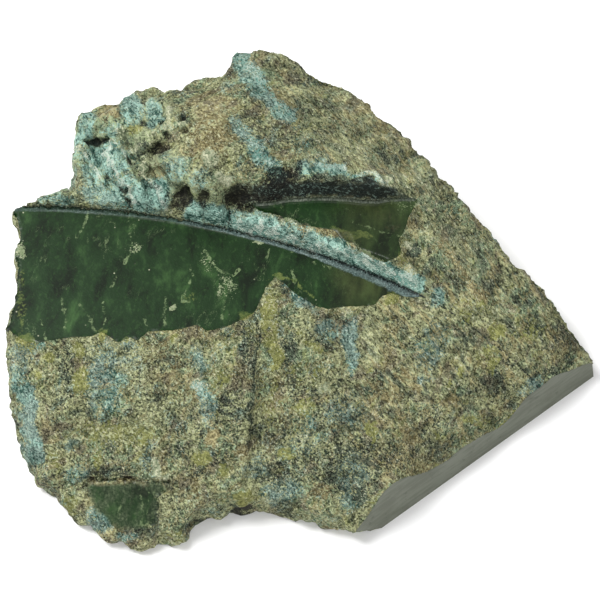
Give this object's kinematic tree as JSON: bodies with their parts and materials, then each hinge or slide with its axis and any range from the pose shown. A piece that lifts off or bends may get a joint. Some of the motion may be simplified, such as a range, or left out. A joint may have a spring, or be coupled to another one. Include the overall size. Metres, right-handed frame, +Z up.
{
  "type": "raw jade boulder",
  "caption": "Rough block of nephrite jade with a weathered skin, arc-edged saw windows that show deep green stone, one sawn side and a flat base.",
  "frame": {"origin": "centre of the block's bounding box, on the level of its flat base", "axes": "+X along the length, towards the pointed corner of the sawn side; +Y towards the broken back edge; +Z up out of the base"},
  "size_m": [0.225, 0.1953, 0.0618],
  "materials": {
    "jade": "weathered rough skin, saw-cut windows in deep green"
  },
  "bodies": {
    "root": {"jade_boulder": "jade"}
  },
  "joints": []
}
